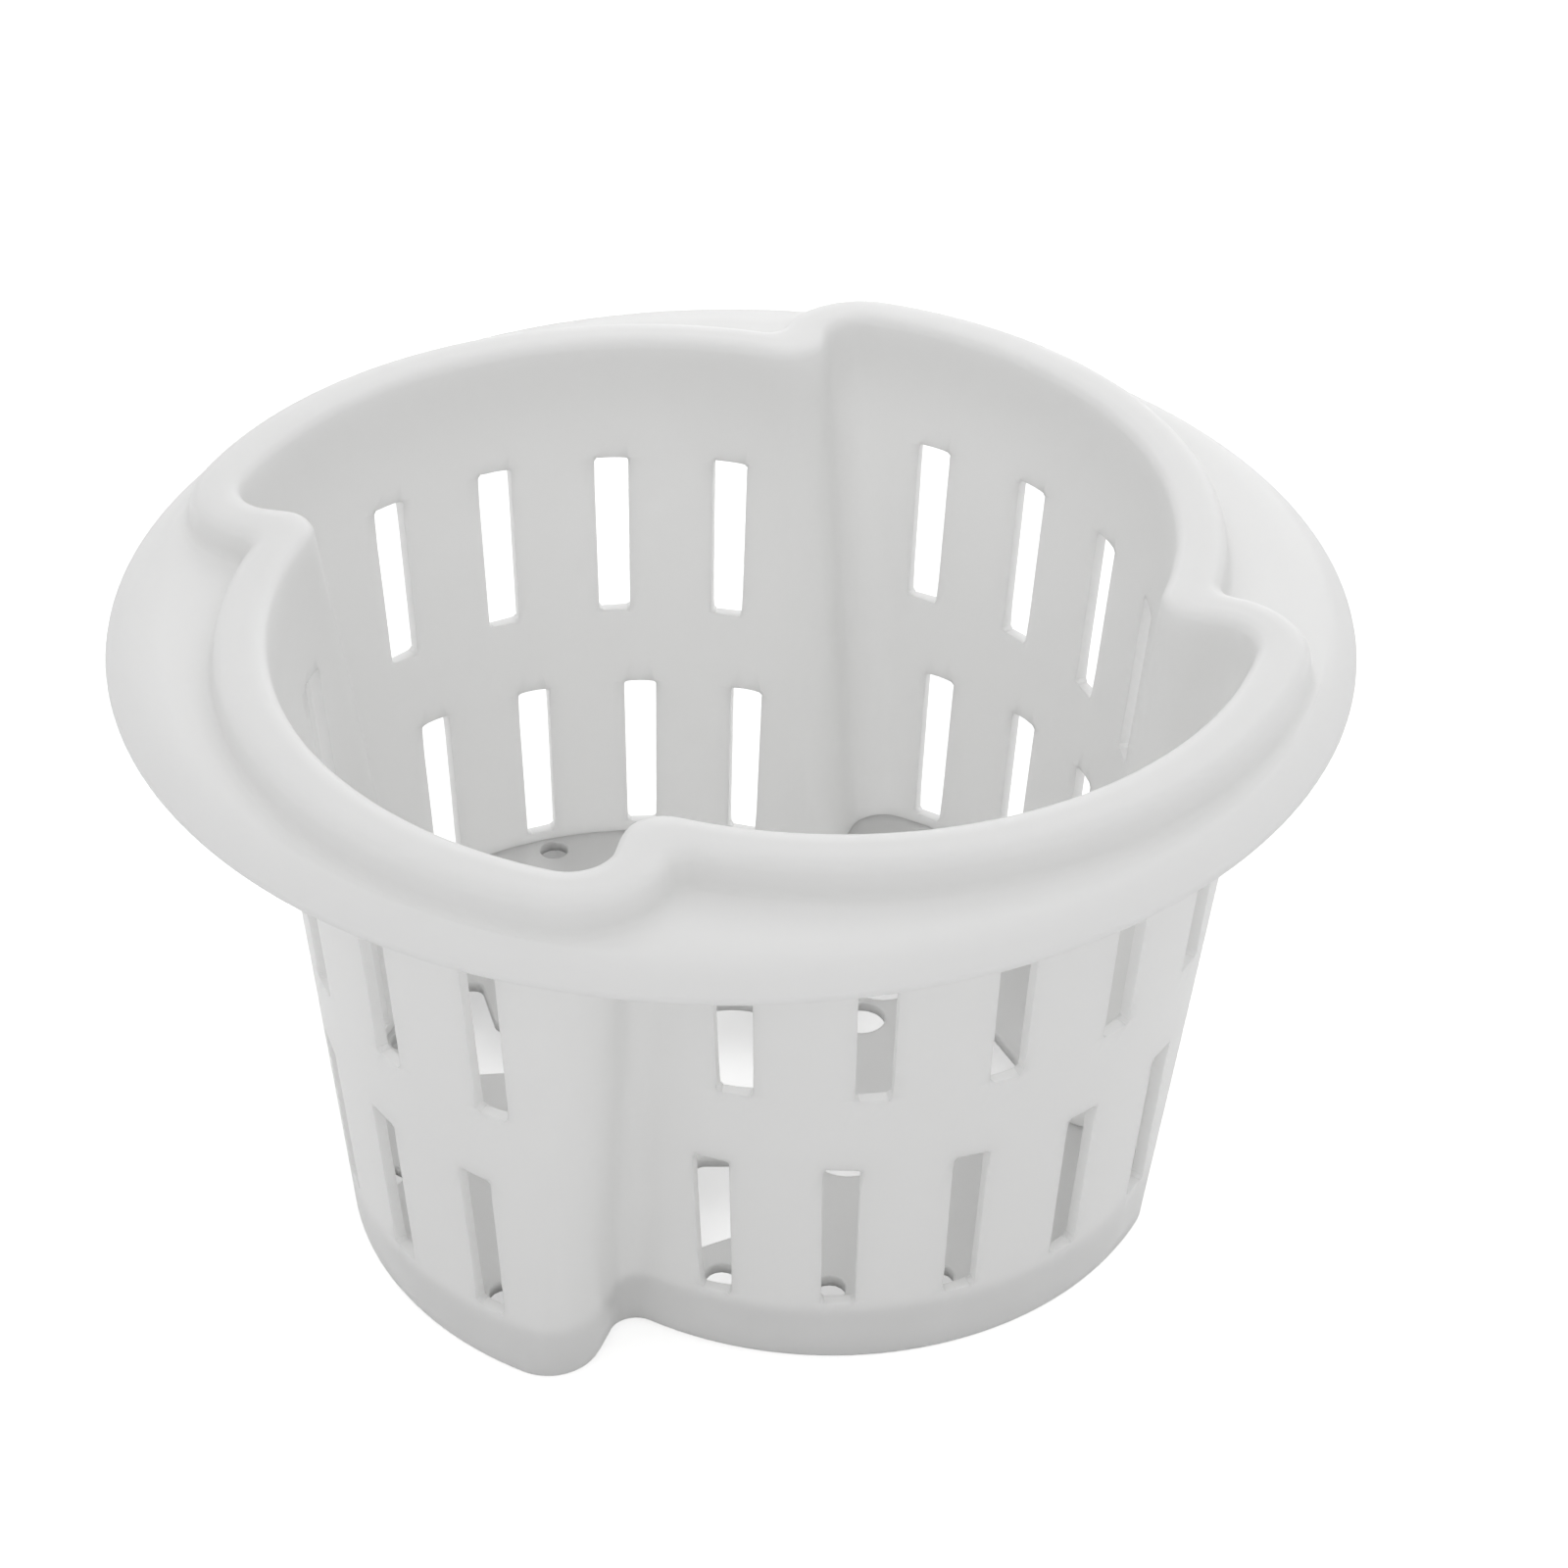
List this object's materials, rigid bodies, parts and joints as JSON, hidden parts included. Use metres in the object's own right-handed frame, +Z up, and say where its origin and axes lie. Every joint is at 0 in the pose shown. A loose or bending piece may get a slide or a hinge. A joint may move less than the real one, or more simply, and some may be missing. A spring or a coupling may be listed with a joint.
{
  "type": "hydroponic net pot",
  "caption": "Tapered basket with a pinwheel wall of spiral lobes, rows of upright slots, a pierced raised floor and a wide round flange with a raised collar.",
  "frame": {"origin": "on the pot's axis at the level of the foot", "axes": "+Z up along the pot's axis, towards the mouth; +X and +Y across the flange"},
  "size_m": [0.134, 0.134, 0.0752],
  "materials": {
    "frosted_plastic": "natural translucent plastic, softly frosted, with a faint sheen on the rim"
  },
  "bodies": {
    "root": {"net_pot": "frosted_plastic"}
  },
  "joints": []
}
